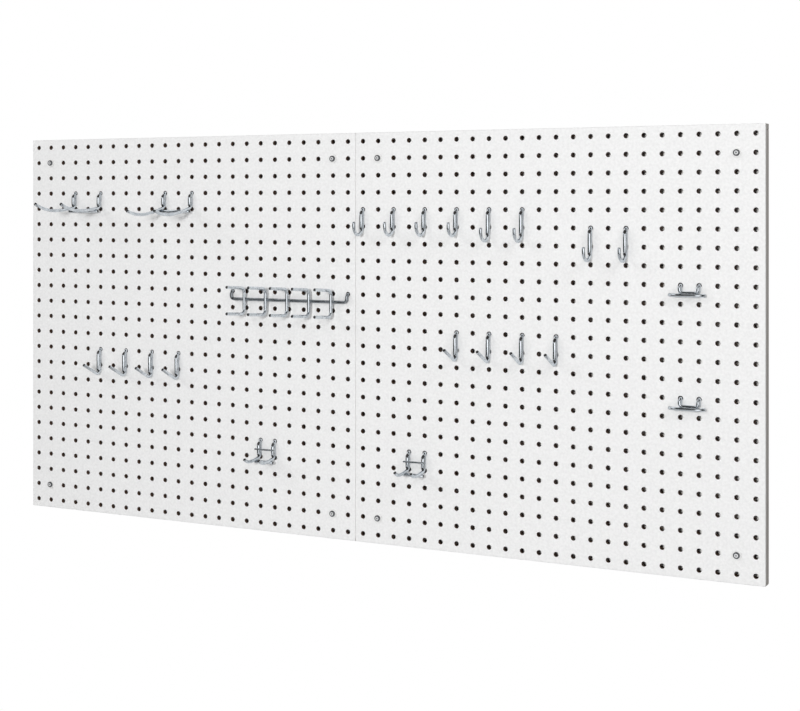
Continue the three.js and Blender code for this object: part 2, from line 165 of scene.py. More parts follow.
def noise(tree, scale, detail=4.0, stretch=(1, 1, 1)):
    """Noise over the row frame; stretch above 1 packs it tighter along that axis."""
    place = tree.nodes.new("ShaderNodeTexCoord")
    mapping = tree.nodes.new("ShaderNodeMapping")
    mapping.inputs["Scale"].default_value = stretch
    texture = tree.nodes.new("ShaderNodeTexNoise")
    texture.inputs["Scale"].default_value = scale
    texture.inputs["Detail"].default_value = detail
    tree.links.new(place.outputs["Object"], mapping.inputs["Vector"])
    tree.links.new(mapping.outputs["Vector"], texture.inputs["Vector"])
    return texture.outputs["Fac"]


def spread(tree, value, low, high):
    """Maps the middle of a noise onto low to high."""
    node = tree.nodes.new("ShaderNodeMapRange")
    node.inputs["From Min"].default_value = 0.3
    node.inputs["From Max"].default_value = 0.7
    node.inputs["To Min"].default_value = low
    node.inputs["To Max"].default_value = high
    tree.links.new(value, node.inputs["Value"])
    return node.outputs["Result"]


def two_tone(tree, value, dark, light, low=0.35, high=0.65):
    ramp = tree.nodes.new("ShaderNodeValToRGB")
    ramp.color_ramp.elements[0].position = low
    ramp.color_ramp.elements[0].color = (*dark, 1)
    ramp.color_ramp.elements[1].position = high
    ramp.color_ramp.elements[1].color = (*light, 1)
    tree.links.new(value, ramp.inputs["Fac"])
    return ramp.outputs["Color"]


def add_bump(tree, shader, height, depth, strength=1.0):
    bump = tree.nodes.new("ShaderNodeBump")
    bump.inputs["Strength"].default_value = strength
    bump.inputs["Distance"].default_value = depth
    tree.links.new(height, bump.inputs["Height"])
    tree.links.new(bump.outputs["Normal"], shader.inputs["Normal"])


def coated_face():
    """White baked coating with a fine pebble; its tone, lighter and darker with the pebble, is
    painted light and shade on the bumps.
    """
    material, tree, shader = new_material("coated_face", (0.86, 0.86, 0.85), 0.5)
    pebble = noise(tree, 270, 3)
    # Painted light and shade: the colour follows the pebble bumps.
    tone = two_tone(tree, pebble, (0.825, 0.825, 0.822), (0.885, 0.885, 0.882))
    tree.links.new(tone, shader.inputs["Base Color"])
    gloss = spread(tree, noise(tree, 60), 0.42, 0.56)
    tree.links.new(gloss, shader.inputs["Roughness"])
    add_bump(tree, shader, pebble, 0.0005, 0.6)
    return material


def board_core_painted_shade():
    """Pressed brown fibre in the drilled holes, kept far darker than the same fibre on the back:
    painted shade inside the holes.
    """
    # Painted shade: the hole walls are made near black.
    material, tree, shader = new_material("board_core_painted_shade", (0.1, 0.06, 0.04), 0.8)
    tone = two_tone(tree, noise(tree, 900, 6), (0.05, 0.03, 0.02), (0.13, 0.08, 0.055))
    tree.links.new(tone, shader.inputs["Base Color"])
    add_bump(tree, shader, noise(tree, 1100, 4), 0.0002, 0.6)
    return material


def board_back():
    """The rough brown back of the pressed fibre."""
    material, tree, shader = new_material("board_back", (0.34, 0.22, 0.14), 0.85)
    tone = two_tone(tree, noise(tree, 700, 6), (0.26, 0.165, 0.105), (0.42, 0.28, 0.18))
    tree.links.new(tone, shader.inputs["Base Color"])
    add_bump(tree, shader, noise(tree, 900, 4), 0.0003, 0.6)
    return material


def painted_edge():
    """Warm off-white paint on the sheet's cut edges, with the fibre showing a little."""
    material, tree, shader = new_material("painted_edge", (0.72, 0.7, 0.67), 0.6)
    tone = two_tone(tree, noise(tree, 400, 5), (0.66, 0.64, 0.6), (0.76, 0.745, 0.715))
    tree.links.new(tone, shader.inputs["Base Color"])
    add_bump(tree, shader, noise(tree, 900, 4), 0.0001, 0.5)
    return material


def painted_wood_shade(stretch):
    """Thin paint over sawn wood, made greyer than the sheet's edge paint as painted shade that
    darkens the side strip towards the wall; the grain is drawn out along the batten.
    """
    name = "painted_wood_shade_level" if stretch[0] < 1 else "painted_wood_shade_upright"
    # Painted shade: the batten paint is greyer than the sheet's edges.
    material, tree, shader = new_material(name, (0.6, 0.57, 0.53), 0.65)
    grain = noise(tree, 420, 6, stretch)
    tone = two_tone(tree, grain, (0.53, 0.5, 0.46), (0.66, 0.635, 0.6))
    tree.links.new(tone, shader.inputs["Base Color"])
    add_bump(tree, shader, grain, 0.0002, 0.6)
    return material


def raw_wood_painted_shade(stretch):
    """Unpainted wood on the battens' inner faces and backs, made near black as painted shade
    inside the frame.
    """
    name = "raw_wood_painted_shade_level" if stretch[0] < 1 else "raw_wood_painted_shade_upright"
    # Painted shade: the wood is made near black.
    material, tree, shader = new_material(name, (0.05, 0.03, 0.02), 0.8)
    grain = noise(tree, 520, 7, stretch)
    tone = two_tone(tree, grain, (0.03, 0.019, 0.012), (0.075, 0.047, 0.03))
    tree.links.new(tone, shader.inputs["Base Color"])
    add_bump(tree, shader, grain, 0.0003, 0.7)
    return material


def zinc_plate():
    """Bright zinc on drawn wire: nearly a mirror, with faint clouding."""
    material, tree, shader = new_material("zinc_plate", (0.64, 0.68, 0.72), 0.2, 1.0)
    tone = two_tone(tree, noise(tree, 130, 4), (0.62, 0.66, 0.7), (0.76, 0.8, 0.835))
    tree.links.new(tone, shader.inputs["Base Color"])
    gloss = spread(tree, noise(tree, 260, 5), 0.1, 0.17)
    tree.links.new(gloss, shader.inputs["Roughness"])
    shader.inputs["Specular Tint"].default_value = (0.6, 0.63, 0.66, 1)
    return material


def dull_shade_zinc():
    """A rougher copy of the zinc with a darker colour, on the rack's rod and the thin cross
    wires; the darker colour is painted shade.
    """
    # Painted shade: the hooks' zinc made darker for the level wires.
    material, tree, shader = new_material("dull_shade_zinc", (0.4, 0.42, 0.44), 0.25, 1.0)
    tone = two_tone(tree, noise(tree, 130, 4), (0.3, 0.32, 0.34), (0.44, 0.465, 0.49))
    tree.links.new(tone, shader.inputs["Base Color"])
    gloss = spread(tree, noise(tree, 260, 5), 0.18, 0.28)
    tree.links.new(gloss, shader.inputs["Roughness"])
    shader.inputs["Specular Tint"].default_value = (0.5, 0.52, 0.54, 1)
    return material


def sheared_steel_painted_shade():
    """The cut ends of the wires: torn, dull bare steel, made near black as painted shade for the
    dark gaps at the wires' ends.
    """
    material, tree, shader = new_material("sheared_steel_painted_shade", (0.1, 0.1, 0.1), 0.55, 1.0)
    tone = two_tone(tree, noise(tree, 1500, 5), (0.035, 0.035, 0.038), (0.16, 0.155, 0.15))
    tree.links.new(tone, shader.inputs["Base Color"])
    add_bump(tree, shader, noise(tree, 1800, 3), 0.0001, 0.7)
    return material


def weld_metal():
    """Spot-weld beads: plated over, a little duller, and darker in random patches."""
    material, tree, shader = new_material("weld_metal", (0.5, 0.51, 0.53), 0.38, 1.0)
    tone = two_tone(tree, noise(tree, 900, 4), (0.3, 0.3, 0.31), (0.62, 0.63, 0.65))
    tree.links.new(tone, shader.inputs["Base Color"])
    add_bump(tree, shader, noise(tree, 1200, 4), 0.00015, 0.7)
    return material


def screw_crown_painted_highlight():
    """The crown of the screw heads, made near white as a painted highlight."""
    # Painted highlight: the crown is made near white.
    material, tree, shader = new_material("screw_crown_painted_highlight", (0.86, 0.87, 0.88), 0.42, 0.4)
    tone = two_tone(tree, noise(tree, 500, 4), (0.8, 0.81, 0.82), (0.9, 0.905, 0.91))
    tree.links.new(tone, shader.inputs["Base Color"])
    gloss = spread(tree, noise(tree, 800, 3), 0.34, 0.5)
    tree.links.new(gloss, shader.inputs["Roughness"])
    return material


def screw_steel_painted_shade():
    """The screws' steel on the rims, recesses and shanks, made near black as painted shade round
    the bright crown.
    """
    # Painted shade: the steel is made near black.
    material, tree, shader = new_material("screw_steel_painted_shade", (0.15, 0.155, 0.165), 0.4, 0.8)
    tone = two_tone(tree, noise(tree, 700, 4), (0.1, 0.105, 0.115), (0.2, 0.205, 0.215))
    tree.links.new(tone, shader.inputs["Base Color"])
    add_bump(tree, shader, noise(tree, 1200, 3), 0.00004, 0.5)
    return material


def moulded_plastic(name, dark, light):
    material, tree, shader = new_material(name, light, 0.38)
    tone = two_tone(tree, noise(tree, 300, 3), dark, light)
    tree.links.new(tone, shader.inputs["Base Color"])
    add_bump(tree, shader, noise(tree, 1600, 2), 0.00004, 0.5)
    return material


COATED = coated_face()
CORE_SHADE = board_core_painted_shade()
BACK = board_back()
EDGE = painted_edge()
WOOD_SHADE_LEVEL = painted_wood_shade((0.04, 1, 1))
WOOD_SHADE_UPRIGHT = painted_wood_shade((1, 1, 0.04))
RAW_SHADE_LEVEL = raw_wood_painted_shade((0.04, 1, 1))
RAW_SHADE_UPRIGHT = raw_wood_painted_shade((1, 1, 0.04))
ZINC = zinc_plate()
DULL_SHADE_ZINC = dull_shade_zinc()
CUT_SHADE = sheared_steel_painted_shade()
WELD = weld_metal()
CROWN_HIGHLIGHT = screw_crown_painted_highlight()
SCREW_SHADE = screw_steel_painted_shade()
WHITE_PLASTIC = moulded_plastic("white_plastic", (0.8, 0.8, 0.79), (0.88, 0.88, 0.87))
GREY_PLASTIC = moulded_plastic("grey_plastic", (0.4, 0.41, 0.42), (0.5, 0.51, 0.52))

# Where each mesh keeps its materials.
WIRE_FINISHES = [ZINC, CUT_SHADE, WELD, DULL_SHADE_ZINC]
PLATED, SHEARED_SHADE, BEAD, DULL_SHADE = range(4)
PANEL_FINISHES = [COATED, CORE_SHADE, EDGE, BACK]
FRONT, DRILLED, SAWN, REAR = range(4)
PAINT_AND_SHADE, RAW_SHADE = range(2)
STEEL_SHADE, POLISHED_HIGHLIGHT = range(2)


# ---- mesh helpers ----
def finish_mesh(name, bm, materials, sharp_angle=50):
    """Turns bm into an object, smooth except where faces meet at more than sharp_angle."""
    bm.normal_update()
    limit = math.radians(sharp_angle)
    for face in bm.faces:
        face.smooth = True
    for edge in bm.edges:
        edge.smooth = len(edge.link_faces) == 2 and edge.calc_face_angle() < limit
    mesh = bpy.data.meshes.new(name)
    bm.to_mesh(mesh)
    bm.free()
    for material in materials:
        mesh.materials.append(material)
    obj = bpy.data.objects.new(name, mesh)
    bpy.context.collection.objects.link(obj)
    return obj


def place_piece(obj, node, body):
    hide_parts(node)
    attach(obj, body)


# ---- wires ----
LEFT = Vector((-1, 0, 0))
RIGHT = Vector((1, 0, 0))
UP = Vector((0, 0, 1))
FORWARD = Vector((0, -1, 0))


def heading(degrees):
    """A direction in a hook's side plane: 0 is straight out from the wall, 90 is up."""
    angle = math.radians(degrees)
    return Vector((0, -math.cos(angle), math.sin(angle)))


class WirePath:
    """The centreline of a bent wire: points, and the wire's direction at each."""

    def __init__(self, x, reach, z, direction):
        self.points = [Vector((x, -reach, z))]
        self.directions = [direction.copy()]

    def straight(self, length):
        direction = self.directions[-1]
        self.points.append(self.points[-1] + direction * length)
        self.directions.append(direction.copy())
        return self

    def bend(self, radius, degrees, axis):
        steps = max(2, math.ceil(abs(degrees) / BEND_STEP))
        start, direction = self.points[-1], self.directions[-1]
        inward = axis.cross(direction) * math.copysign(radius, degrees)
        centre = start + inward
        for i in range(1, steps + 1):
            turn = Quaternion(axis, math.radians(degrees) * i / steps)
            self.points.append(centre + turn @ (start - centre))
            self.directions.append(turn @ direction)
        return self


def ring(bm, centre, side, other, radius):
    verts = []
    for i in range(WIRE_SIDES):
        angle = 2 * math.pi * i / WIRE_SIDES
        offset = side * math.cos(angle) + other * math.sin(angle)
        verts.append(bm.verts.new(centre + offset * radius))
    return verts


def add_wire(bm, path, radius=WIRE_RADIUS, slant=0.0, finish=PLATED):
    """Sweeps the round section along the path, with chamfered cut ends that are darkened as
    painted shade.

    With slant, both ends are sheared obliquely: their front edges are that much further in.
    """
    first, last = path.directions[0], path.directions[-1]
    chamfer = min(CHAMFER, radius * 0.3)
    stops = [(path.points[0], first, radius - chamfer)]
    stops += [(path.points[0] + first * chamfer, first, radius)]
    stops += [(p, d, radius) for p, d in zip(path.points[1:-1], path.directions[1:-1])]
    stops += [(path.points[-1] - last * chamfer, last, radius)]
    stops += [(path.points[-1], last, radius - chamfer)]
    side = first.orthogonal().normalized()
    before = first
    rings = []
    for centre, direction, width in stops:
        side = before.rotation_difference(direction) @ side
        side = (side - direction * side.dot(direction)).normalized()
        rings.append(ring(bm, centre, side, direction.cross(side), width))
        before = direction
    cuts = ((path.points[0], first, rings[:2]), (path.points[-1], -last, rings[-2:]))
    for end, inward, end_rings in cuts:
        for vert in end_rings[0] + end_rings[1]:
            lean = (vert.co - end).dot(FORWARD) / (2 * radius) + 0.5
            vert.co += inward * slant * lean
    for near, far in zip(rings, rings[1:]):
        for i in range(WIRE_SIDES):
            j = (i + 1) % WIRE_SIDES
            bm.faces.new((near[i], near[j], far[j], far[i])).material_index = finish
    # The end caps take the cut steel, darkened as painted shade.
    bm.faces.new(rings[0][::-1]).material_index = SHEARED_SHADE
    bm.faces.new(rings[-1]).material_index = SHEARED_SHADE


def add_weld(bm, x, reach, z, size):
    """A small bead where two wires meet, of half-sizes in mm across, out and up."""
    scale = Matrix.Diagonal((*(s * MM for s in size), 1))
    place = Matrix.Translation((x, -reach, z)) @ scale
    bead = bmesh.ops.create_uvsphere(bm, u_segments=14, v_segments=10, radius=1, matrix=place)
    for face in {f for v in bead["verts"] for f in v.link_faces}:
        face.material_index = BEAD


def finish_wires(name, bm, x, z, body):
    bmesh.ops.translate(bm, verts=bm.verts, vec=(x, FACE_Y, z))
    obj = finish_mesh(f"{name}_wires", bm, WIRE_FINISHES)
    place_piece(obj, name, body)


def peg_path(x):
    turn = math.radians(PEG_TURN)
    reach = -SHEET_THICKNESS / 2 - PEG_SWEEP * math.sin(turn)
    rise = PEG_RISE + PEG_SWEEP * (1 - math.cos(turn))
    return WirePath(x, reach, rise, heading(-PEG_TURN)).bend(PEG_SWEEP, PEG_TURN, LEFT)


def peg_and_leg_path(x, reach, bend):
    return peg_path(x).straight(SHEET_THICKNESS / 2 + reach - bend).bend(bend, -90, LEFT)


def leg_path(x):
    return peg_and_leg_path(x, LEG_REACH, TIGHT_BEND)


def front_path(x):
    return WirePath(x, FRONT_REACH, FRONT_TOP, heading(-90))


def add_front_wire(bm, x, bottom):
    """A short straight wire along the front of a leg, held by two spot welds."""
    add_wire(bm, front_path(x).straight(FRONT_TOP - bottom), slant=CUT_SLANT)
    for share in WELD_SHARES:
        weld_height = bottom * share
        add_weld(bm, x, WELD_REACH, weld_height, (1.75, 1.3, 2.6))


def j_hook(bm, depth, bottom, lip):
    radius = depth / 2
    path = leg_path(0).straight(LEG_TOP - bottom - radius).bend(radius, 180, LEFT)
    add_wire(bm, path.straight(lip))
    add_front_wire(bm, 0, bottom + J_STEP)


def angled_hook(bm):
    rise = math.radians(ARM_RISE)
    run = ANGLED_REACH - ARM_BEND * (1 + math.sin(rise))
    path = leg_path(0).straight(LEG_TOP - ANGLED_BOTTOM - ARM_BEND)
    path.bend(ARM_BEND, 90 + ARM_RISE, LEFT).straight(run / math.cos(rise))
    add_wire(bm, path)
    add_front_wire(bm, 0, ANGLED_BOTTOM + ANGLED_STEP)


def add_sagging_wire(bm, x, arm, droop):
    sag_radius, sag_turn = arm["sag"]
    tip_radius, tip_turn = arm["tip"]
    path = leg_path(x).straight(LEG_TOP - arm["bend_start"])
    path.bend(ARM_BEND, 90 - sag_turn - droop, LEFT).straight(ARM_RUN)
    path.bend(sag_radius, sag_turn, LEFT).bend(tip_radius, tip_turn, LEFT)
    add_wire(bm, path)
    add_front_wire(bm, x, arm["bend_start"] - ARM_STEP)


def add_cross_bar(bm, start, end, reach, z, radius=WIRE_RADIUS, finish=PLATED):
    path = WirePath(start, reach, z, RIGHT).straight(end - start)
    add_wire(bm, path, radius, finish=finish)


def double_hook(bm, arm, droop):
    for x in (0, arm["span"]):
        add_sagging_wire(bm, x, arm, droop)
        weld_height = arm["bar_height"] + WELD_PITCH / 2
        add_weld(bm, x, LOWER_BAR_REACH, weld_height, (1.9, 1.9, 1.1))
    low, high = -LOWER_BAR_OVERHANG, arm["span"] + LOWER_BAR_OVERHANG
    add_cross_bar(bm, low, high, LOWER_BAR_REACH, arm["bar_height"])


def add_upper_bar(bm, arm):
    reach = FRONT_REACH + WIRE_RADIUS + THIN_WIRE_RADIUS - WELD_DEPTH
    # The thin bar takes the darker zinc, painted shade.
    add_cross_bar(bm, *UPPER_BAR_ENDS, reach, UPPER_BAR_HEIGHT, THIN_WIRE_RADIUS, DULL_SHADE)
    for x in (0, arm["span"]):
        add_weld(bm, x, reach - THIN_WIRE_RADIUS, UPPER_BAR_HEIGHT, (1.5, 0.8, 1.6))


def pliers_holder(bm):
    for x in (0, PITCH):
        add_wire(bm, peg_and_leg_path(x, LEG_REACH, TIGHT_BEND).straight(HOLDER_LEG))
        add_weld(bm, x, WELD_REACH, HOLDER_WELD_HEIGHT, (1.75, 1.3, 2.0))
    drop = HOLDER_BAR_DROP - HOLDER_CORNER + FRONT_TOP
    bracket = front_path(0).straight(drop).bend(HOLDER_CORNER, 90, FORWARD)
    bracket.straight(PITCH - 2 * HOLDER_CORNER)
    bracket.bend(HOLDER_CORNER, 90, FORWARD)
    add_wire(bm, bracket.straight(drop))
    angle = math.radians(BOW_ANGLE)
    half_width = BOW_FLAT / 2 + BOW_BEND * math.sin(angle) + BOW_END * math.cos(angle)
    set_back = BOW_BEND * (1 - math.cos(angle)) + BOW_END * math.sin(angle)
    start_x = PITCH / 2 + BOW_OFFSET - half_width
    start_reach = FRONT_REACH + BOW_FORWARD - set_back
    outward = Quaternion(UP, -angle) @ RIGHT
    bow = WirePath(start_x, start_reach, -HOLDER_BAR_DROP - BOW_DROP, outward)
    bow.straight(BOW_END).bend(BOW_BEND, BOW_ANGLE, UP).straight(BOW_FLAT)
    add_wire(bm, bow.bend(BOW_BEND, BOW_ANGLE, UP).straight(BOW_END))
    for side in (-0.5, 0.5):
        x = PITCH / 2 + side * BOW_WELD_SPACING
        weld_z = -HOLDER_BAR_DROP - BOW_DROP / 2
        add_weld(bm, x, FRONT_REACH + BOW_FORWARD / 2, weld_z, (2.6, 1.5, 1.5))


def rack_rod(bm):
    drop = RACK_DROP + PEG_RISE - 2 * RACK_CORNER
    path = peg_and_leg_path(0, RACK_REACH, RACK_CORNER).straight(drop)
    path.bend(RACK_CORNER, 90, FORWARD).straight(RACK_SPAN - 2 * RACK_CORNER)
    path.bend(RACK_CORNER, 90, FORWARD).straight(drop).bend(RACK_CORNER, 90, LEFT)
    path.straight(SHEET_THICKNESS / 2 + RACK_REACH - RACK_CORNER)
    # The rod takes the darker zinc, painted shade.
    add_wire(bm, path.bend(PEG_SWEEP, PEG_TURN, RIGHT), finish=DULL_SHADE)


def rack_prong(bm):
    spine = RACK_REACH + PRONG_GAP
    run = PRONG_TIP_REACH - spine
    rise = math.radians(PRONG_RISE)
    upper_turn, lower_turn = 90 - PRONG_RISE, 90 + PRONG_RISE
    upper_cut = PRONG_CORNER * math.tan(math.radians(upper_turn / 2))
    lower_cut = PRONG_CORNER * math.tan(math.radians(lower_turn / 2))
    tip_z = PRONG_TOP + run * math.tan(rise)
    path = WirePath(0, PRONG_TIP_REACH, tip_z, heading(180 + PRONG_RISE))
    path.straight(run / math.cos(rise) - upper_cut).bend(PRONG_CORNER, upper_turn, LEFT)
    path.straight(PRONG_TOP - PRONG_BOTTOM - upper_cut - lower_cut)
    path.bend(PRONG_CORNER, lower_turn, LEFT)
    add_wire(bm, path.straight(run / math.cos(rise) - lower_cut))
    add_weld(bm, 0, RACK_REACH + PRONG_GAP / 2, -RACK_DROP, (1.9, 1.0, 1.9))


def hook_place(body):
    """X and height of the hole a hook's first peg goes through, from its joint."""
    joint = next(j for j in frame["joints"] if j["child"] == body)
    x, _, z = joint["pos_m"]
    return x, z - PEG_SWEEP - PEG_RISE


def make_hook(name, build, *sizes):
    bm = bmesh.new()
    build(bm, *sizes)
    x, z = hook_place(name)
    finish_wires(name, bm, x, z, name)


def small_double(bm):
    double_hook(bm, SMALL_ARM, 0)
    add_upper_bar(bm, SMALL_ARM)


def make_hooks():
    for i, size in enumerate(J_SIZES, 1):
        make_hook(f"j_hook_{i}", j_hook, size["depth"], size["bottom"], size["lip"])
    for i in range(1, ANGLED_COUNT + 1):
        make_hook(f"angled_hook_{i}", angled_hook)
    for i, droop in enumerate(LARGE_DROOPS, 1):
        make_hook(f"large_double_hook_{i}", double_hook, LARGE_ARM, droop)
    for i in (1, 2):
        make_hook(f"small_double_hook_{i}", small_double)
        make_hook(f"pliers_holder_{i}", pliers_holder)


def make_rack():
    x, z = hook_place("tool_rack")
    bm = bmesh.new()
    rack_rod(bm)
    finish_wires("tool_rack_rod", bm, x, z, "tool_rack")
    first = x + RACK_SPAN / 2 + PRONG_SHIFT - (PRONG_COUNT - 1) / 2 * PRONG_PITCH
    for i in range(PRONG_COUNT):
        bm = bmesh.new()
        rack_prong(bm)
        finish_wires(f"tool_rack_prong_{i + 1}", bm, first + i * PRONG_PITCH, z, "tool_rack")


# ---- the perforated panels ----
def square_point(k, half):
    """Point k of the cell's square outline, on the same ray as point k of the hole."""
    angle = 2 * math.pi * k / HOLE_SIDES
    cos, sin = math.cos(angle), math.sin(angle)
    reach = half / max(abs(cos), abs(sin))
    return reach * cos, reach * sin


def add_cell(bm, cx, cz, low, high):
    """One pitch of the sheet round one hole: face, eased rim, drilled wall and back."""

    def outline(y):
        verts = []
        for k in range(HOLE_SIDES):
            dx, dz = square_point(k, PITCH / 2)
            x = min(max(cx + dx, low.x), high.x)
            verts.append(bm.verts.new((x, y, cz + dz)))
        return verts

    def circle(radius, y):
        verts = []
        for k in range(HOLE_SIDES):
            angle = 2 * math.pi * k / HOLE_SIDES
            place = (cx + radius * math.cos(angle), y, cz + radius * math.sin(angle))
            verts.append(bm.verts.new(place))
        return verts

    front, back = outline(low.y), outline(high.y)
    rings = [
        front,
        circle(HOLE_RADIUS + HOLE_EASE + HOLE_RIM, low.y),
        circle(HOLE_RADIUS + HOLE_EASE, low.y),
        circle(HOLE_RADIUS, low.y + HOLE_EASE),
        circle(HOLE_RADIUS, high.y),
        back,
    ]
    finishes = (FRONT, FRONT, FRONT, DRILLED, REAR)
    for outer, inner, finish in zip(rings, rings[1:], finishes):
        for k in range(HOLE_SIDES):
            j = (k + 1) % HOLE_SIDES
            face = bm.faces.new((outer[k], outer[j], inner[j], inner[k]))
            face.material_index = finish
    for k in range(HOLE_SIDES):
        j = (k + 1) % HOLE_SIDES
        a, b = front[k].co, front[j].co
        for axis, limit in ((0, low.x), (0, high.x), (2, low.z), (2, high.z)):
            if max(abs(a[axis] - limit), abs(b[axis] - limit)) < SAME_PLACE / 10:
                side = bm.faces.new((front[j], front[k], back[k], back[j]))
                side.material_index = SAWN


def make_panel(node):
    low, high = (Vector(corner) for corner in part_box(node))
    columns = round((high.x - low.x) / PITCH)
    rows = round((high.z - low.z) / PITCH)
    seam_side = low.x if low.x > BOARD_LOW.x else high.x
    outer_x = BOARD_HIGH.x if seam_side == low.x else BOARD_LOW.x
    step = math.copysign(PITCH, seam_side - outer_x)
    bm = bmesh.new()
    for column in range(columns):
        for row in range(rows):
            cx = outer_x + (column + 0.5) * step
            add_cell(bm, cx, low.z + (row + 0.5) * PITCH, low, high)
    bmesh.ops.remove_doubles(bm, verts=bm.verts, dist=SAME_PLACE)
    bmesh.ops.recalc_face_normals(bm, faces=bm.faces)

    def on_corner(edge):
        return all(
            min(abs(v.co.x - low.x), abs(v.co.x - high.x)) < SAME_PLACE
            and min(abs(v.co.z - low.z), abs(v.co.z - high.z)) < SAME_PLACE
            for v in edge.verts
        )

    corners = [e for e in bm.edges if on_corner(e)]
    bmesh.ops.bevel(
        bm, geom=corners, offset=PANEL_CORNER, segments=4, affect="EDGES", profile=0.5,
        material=SAWN,
    )
    rims = [e for e in bm.edges if {f.material_index for f in e.link_faces} == {FRONT, SAWN}]
    bmesh.ops.bevel(
        bm, geom=rims, offset=PANEL_RIM, segments=4, affect="EDGES", profile=0.5,
        material=FRONT,
    )
    obj = finish_mesh(f"{node}_sheet", bm, PANEL_FINISHES)
    place_piece(obj, node, "board")


def make_batten(node):
    low, high = (Vector(corner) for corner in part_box(node))
    size = high - low
    bm = bmesh.new()
    place = Matrix.Translation((low + high) / 2) @ Matrix.Diagonal((*size, 1))
    bmesh.ops.create_cube(bm, size=1, matrix=place)
    bmesh.ops.bevel(
        bm, geom=list(bm.edges), offset=BATTEN_EASE, segments=2, affect="EDGES",
        profile=0.6,
    )
    for face in bm.faces:
        spot = face.calc_center_median()
        on_side = min(abs(spot.x - BOARD_LOW.x), abs(spot.x - BOARD_HIGH.x))
        on_end = min(abs(spot.z - BOARD_LOW.z), abs(spot.z - BOARD_HIGH.z))
        outside = min(on_side, on_end) < BATTEN_EASE + 0.1 * MM
        # Painted shade on both finishes: outer faces take the greyed paint, inner faces and backs
        # the near-black wood.
        face.material_index = PAINT_AND_SHADE if outside else RAW_SHADE
    level = size.x > size.z
    finish = [WOOD_SHADE_LEVEL, RAW_SHADE_LEVEL] if level else [WOOD_SHADE_UPRIGHT, RAW_SHADE_UPRIGHT]
    place_piece(finish_mesh(f"{node}_wood", bm, finish), node, "board")


# ---- screws, bushings and spacers ----
SCREW_HEAD = 4.5 * MM
SCREW_HEAD_HEIGHT = 2.8 * MM
SCREW_CROWN = 2.7 * MM
SCREW_EASE = 1.1 * MM
SCREW_SHANK = 2.1 * MM
THREAD_PITCH = 1.3 * MM
BORE = 2.5 * MM
SLEEVE = 3.2 * MM
PLASTIC_EASE = 0.5 * MM


def turned(points, sides=32):
    """A closed outline of (radius, distance along -Y) turned about the Y axis."""
    bm = bmesh.new()
    verts = [bm.verts.new((radius, -reach, 0)) for radius, reach in points]
    edges = [bm.edges.new(pair) for pair in zip(verts, verts[1:])]
    bmesh.ops.spin(
        bm, geom=verts + edges, cent=(0, 0, 0), axis=(0, -1, 0), angle=2 * math.pi,
        steps=sides, use_merge=True,
    )
    bmesh.ops.remove_doubles(bm, verts=bm.verts, dist=1e-6)
    bmesh.ops.recalc_face_normals(bm, faces=bm.faces)
    return bm


def arc(centre, radius, start, end, steps=5):
    """Outline points on an arc, in degrees from the radius direction towards the front."""
    points = []
    for i in range(steps + 1):
        angle = math.radians(start + (end - start) * i / steps)
        points.append(
            (centre[0] + radius * math.cos(angle), centre[1] + radius * math.sin(angle))
        )
    return points


def cut_away(obj, cutter):
    """Cuts the cutter's shape out of obj."""
    tool = finish_mesh("cutter", cutter, [])
    modifier = obj.modifiers.new("cut", "BOOLEAN")
    modifier.object = tool
    modifier.operation = "DIFFERENCE"
    depsgraph = bpy.context.evaluated_depsgraph_get()
    mesh = bpy.data.meshes.new_from_object(obj.evaluated_get(depsgraph))
    obj.modifiers.clear()
    obj.data = mesh
    bpy.data.objects.remove(tool)


def cross_recess(reach, depth):
    """A four-winged driver recess, narrowing as it goes in."""
    bm = bmesh.new()
    levels = []
    for y, share in ((-reach - 1 * MM, 1.2), (-reach + depth, 0.5)):
        wing, half = 1.5 * MM * share, 0.42 * MM * share
        outline = []
        for quarter in range(4):
            turn = Matrix.Rotation(-quarter * math.pi / 2, 3, "Y")
            for x, z in ((wing, -half), (wing, half), (half, half)):
                outline.append(bm.verts.new(turn @ Vector((x, y, z))))
        levels.append(outline)
    near, far = levels
    bm.faces.new(near)
    bm.faces.new(far[::-1])
    for k in range(len(near)):
        j = (k + 1) % len(near)
        bm.faces.new((near[k], far[k], far[j], near[j]))
    bmesh.ops.recalc_face_normals(bm, faces=bm.faces)
    return bm


def make_screw(index, head_top, tip):
    """A pan-head screw with a cross recess and a thread: its steel painted dark as shade, its
    crown painted bright as a highlight.
    """
    seat = head_top - SCREW_HEAD_HEIGHT
    crown = SCREW_CROWN
    profile = [(0, head_top), (crown * 0.5, head_top - 0.05 * MM)]
    profile += [(crown, head_top - 0.25 * MM), (crown + 0.1 * MM, head_top - 0.6 * MM)]
    profile += arc((SCREW_HEAD - SCREW_EASE, head_top - 1.5 * MM), SCREW_EASE, 75, 0)
    profile += [(SCREW_HEAD, seat + 0.3 * MM), (SCREW_HEAD - 0.3 * MM, seat)]
    profile += [(SCREW_SHANK, seat)]
    turns = int((seat - tip - 6 * MM) / THREAD_PITCH)
    for i in range(turns):
        crest = seat - 2 * MM - i * THREAD_PITCH
        profile += [(SCREW_SHANK, crest), (SCREW_SHANK * 0.78, crest - THREAD_PITCH / 2)]
    profile += [(SCREW_SHANK * 0.8, tip + 3.5 * MM), (0, tip)]
    bm = turned(profile)
    # Painted highlight on the crown, painted shade on the rim, recess and shank.
    for face in bm.faces:
        spot = face.calc_center_median()
        on_crown = spot.y < -head_top + 0.4 * MM and math.hypot(spot.x, spot.z) < crown
        face.material_index = POLISHED_HIGHLIGHT if on_crown else STEEL_SHADE
    screw = finish_mesh(f"screw_{index}_steel", bm, [SCREW_SHADE, CROWN_HIGHLIGHT], 40)
    cut_away(screw, cross_recess(head_top, 1.4 * MM))
    return screw


